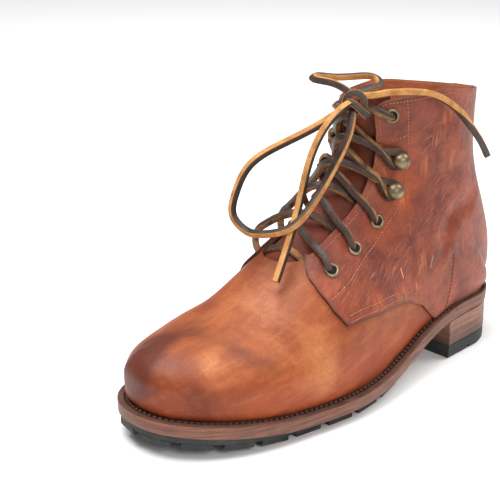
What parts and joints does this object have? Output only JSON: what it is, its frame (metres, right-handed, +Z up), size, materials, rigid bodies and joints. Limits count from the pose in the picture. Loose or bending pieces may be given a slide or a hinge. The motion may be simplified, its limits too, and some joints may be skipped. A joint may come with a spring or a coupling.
{
  "type": "lace-up boot",
  "caption": "Leather lace-up work boot with a rounded toe, stitched welt, stacked leather heel, rubber half sole and eyelets, speed hooks and a tied thong lace.",
  "frame": {"origin": "centre of the boot's bounding box at the floor it stands on, lace bow left out", "axes": "+X from heel to toe, +Y to the lateral side, +Z up"},
  "size_m": [0.301, 0.1135, 0.1945],
  "materials": {
    "vamp_leather": "waxed orange tan, burnished darker at the toe",
    "quarter_leather": "waxed red brown with scuffs",
    "tongue_leather": "matt pinkish brown",
    "lining_leather": "smooth orange tan",
    "welt_leather": "dark brown, waxed edge",
    "stacked_leather": "layered edge, waxed",
    "sole_rubber": "matt charcoal",
    "aged_brass": "aged, dull shine",
    "lace_leather": "dark grain face, raw tan edges"
  },
  "bodies": {
    "root": {"upper": "vamp_leather", "quarter_lateral": "quarter_leather", "quarter_medial": "quarter_leather", "back_strip": "quarter_leather", "tongue": "tongue_leather", "insole": "lining_leather", "welt": "welt_leather", "heel_rand": "welt_leather", "midsole": "stacked_leather", "half_sole": "sole_rubber", "heel_stack": "stacked_leather", "heel_lift": "sole_rubber", "lace_crossings": "lace_leather", "lace_knot": "lace_leather", "lace_loop_down": "lace_leather", "lace_loop_up": "lace_leather", "lace_end_back": "lace_leather", "lace_end_down": "lace_leather", "eyelet_1_lateral": "aged_brass", "eyelet_1_medial": "aged_brass", "eyelet_2_lateral": "aged_brass", "eyelet_2_medial": "aged_brass", "eyelet_3_lateral": "aged_brass", "eyelet_3_medial": "aged_brass", "eyelet_4_lateral": "aged_brass", "eyelet_4_medial": "aged_brass", "hook_1_lateral": "aged_brass", "hook_1_medial": "aged_brass", "hook_2_lateral": "aged_brass", "hook_2_medial": "aged_brass"}
  },
  "joints": []
}
